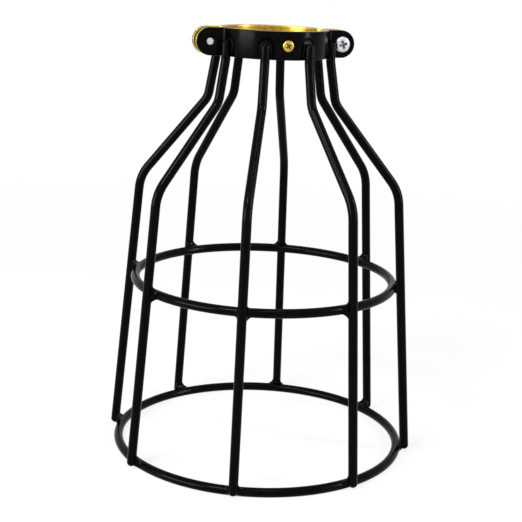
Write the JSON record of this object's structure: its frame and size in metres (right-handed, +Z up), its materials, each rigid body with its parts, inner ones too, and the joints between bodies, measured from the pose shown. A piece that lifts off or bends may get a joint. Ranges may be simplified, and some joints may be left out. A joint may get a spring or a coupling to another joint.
{
  "type": "bulb cage guard",
  "caption": "Open wire cage that flares from a two-part clamp collar, to hang from a lampholder and shield its bulb.",
  "frame": {"origin": "on the axis of the cage, on the ground that its bottom ring stands on", "axes": "+Z up along the axis from the bottom ring to the collar, X along the ears of the collar, -Y towards the half collar whose right ear takes the head of a clamp screw"},
  "size_m": [0.1154, 0.1154, 0.164],
  "materials": {
    "black_powder_coat": "satin black powder coat on steel",
    "gold_finish": "polished gold-coloured brass",
    "zinc_plate": "bright zinc plate"
  },
  "bodies": {
    "root": {"rib_wire_1": "black_powder_coat", "rib_wire_2": "black_powder_coat", "rib_wire_3": "black_powder_coat", "rib_wire_4": "black_powder_coat", "rib_wire_5": "black_powder_coat", "rib_wire_6": "black_powder_coat", "rib_wire_7": "black_powder_coat", "rib_wire_8": "black_powder_coat", "middle_ring": "black_powder_coat", "bottom_ring": "black_powder_coat", "front_collar": "black_powder_coat", "rear_collar": "black_powder_coat", "front_liner": "gold_finish", "rear_liner": "gold_finish", "front_liner_screw": "gold_finish", "rear_liner_screw": "gold_finish", "right_clamp_screw": "zinc_plate", "left_clamp_screw": "zinc_plate"}
  },
  "joints": []
}
